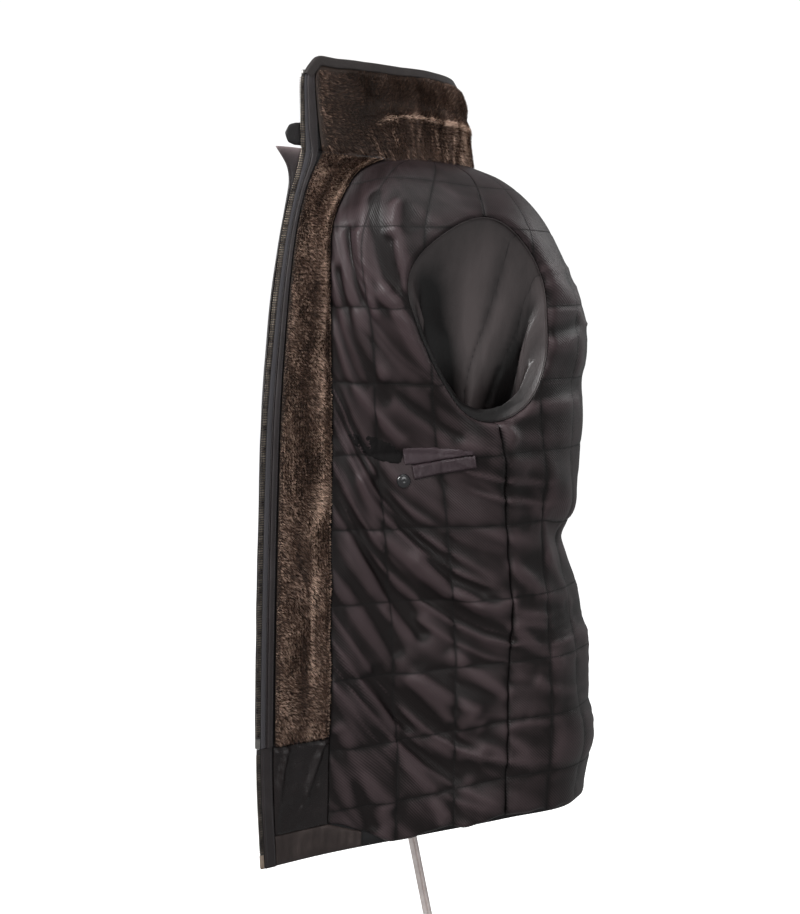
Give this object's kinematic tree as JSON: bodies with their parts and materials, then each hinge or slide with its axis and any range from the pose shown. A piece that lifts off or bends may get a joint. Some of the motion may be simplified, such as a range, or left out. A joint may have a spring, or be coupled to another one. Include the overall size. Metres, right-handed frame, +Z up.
{
  "type": "leather jacket on a stand",
  "caption": "Long leather jacket turned inside out on a slender pole stand, with a quilted satin lining, fur collar and facings, and open zips",
  "frame": {"origin": "middle of the underside of the stand's base", "axes": "+Z up, -Y the way the coat's front faces, +X the coat's own right half"},
  "size_m": [0.393, 0.4656, 1.2288],
  "materials": {
    "leather": "smooth lambskin with a soft shine, near black",
    "quilted_lining": "twill-weave satin, machine quilted, dark brown-grey",
    "sleeve_satin": "smooth satin sleeve lining, grey-green",
    "fur": "short dense plush fur, mottled dark brown",
    "zip_metal": "antique nickel zip teeth",
    "bright_metal": "plain nickel zip ends",
    "snap_black": "black enamelled snap cap",
    "stand_aluminium": "matte anodised tube",
    "stand_steel": "powder-coated steel"
  },
  "bodies": {
    "root": {"collar_binding": "leather", "collar_fur": "fur", "collar_leather": "leather", "facing_fur_left": "fur", "facing_fur_right": "fur", "facing_leather_left": "leather", "facing_leather_right": "leather", "front_band_left": "leather", "front_band_right": "leather", "hem_band_left": "leather", "hem_band_right": "leather", "lining_back": "quilted_lining", "lining_front_left": "quilted_lining", "lining_front_right": "quilted_lining", "main_band_left": "leather", "main_band_right": "leather", "main_pin_left": "bright_metal", "main_pin_right": "bright_metal", "main_zip_left": "zip_metal", "main_zip_right": "zip_metal", "pocket_snap": "snap_black", "pocket_welt": "quilted_lining", "shell_back": "leather", "shell_front_left": "leather", "shell_front_right": "leather", "sleeve_leather_left": "leather", "sleeve_leather_right": "leather", "sleeve_lining_left": "sleeve_satin", "sleeve_lining_right": "sleeve_satin", "stand_base": "stand_steel", "stand_pole": "stand_aluminium", "stand_socket": "stand_steel", "stand_yoke": "stand_aluminium", "storm_flap": "leather", "throat_tab": "leather", "zip_chain_left": "zip_metal", "zip_chain_right": "zip_metal", "zip_pin_left": "bright_metal", "zip_pin_right": "bright_metal", "zip_stop_left": "bright_metal", "zip_stop_right": "bright_metal", "zip_tape_left": "leather", "zip_tape_right": "leather"}
  },
  "joints": []
}
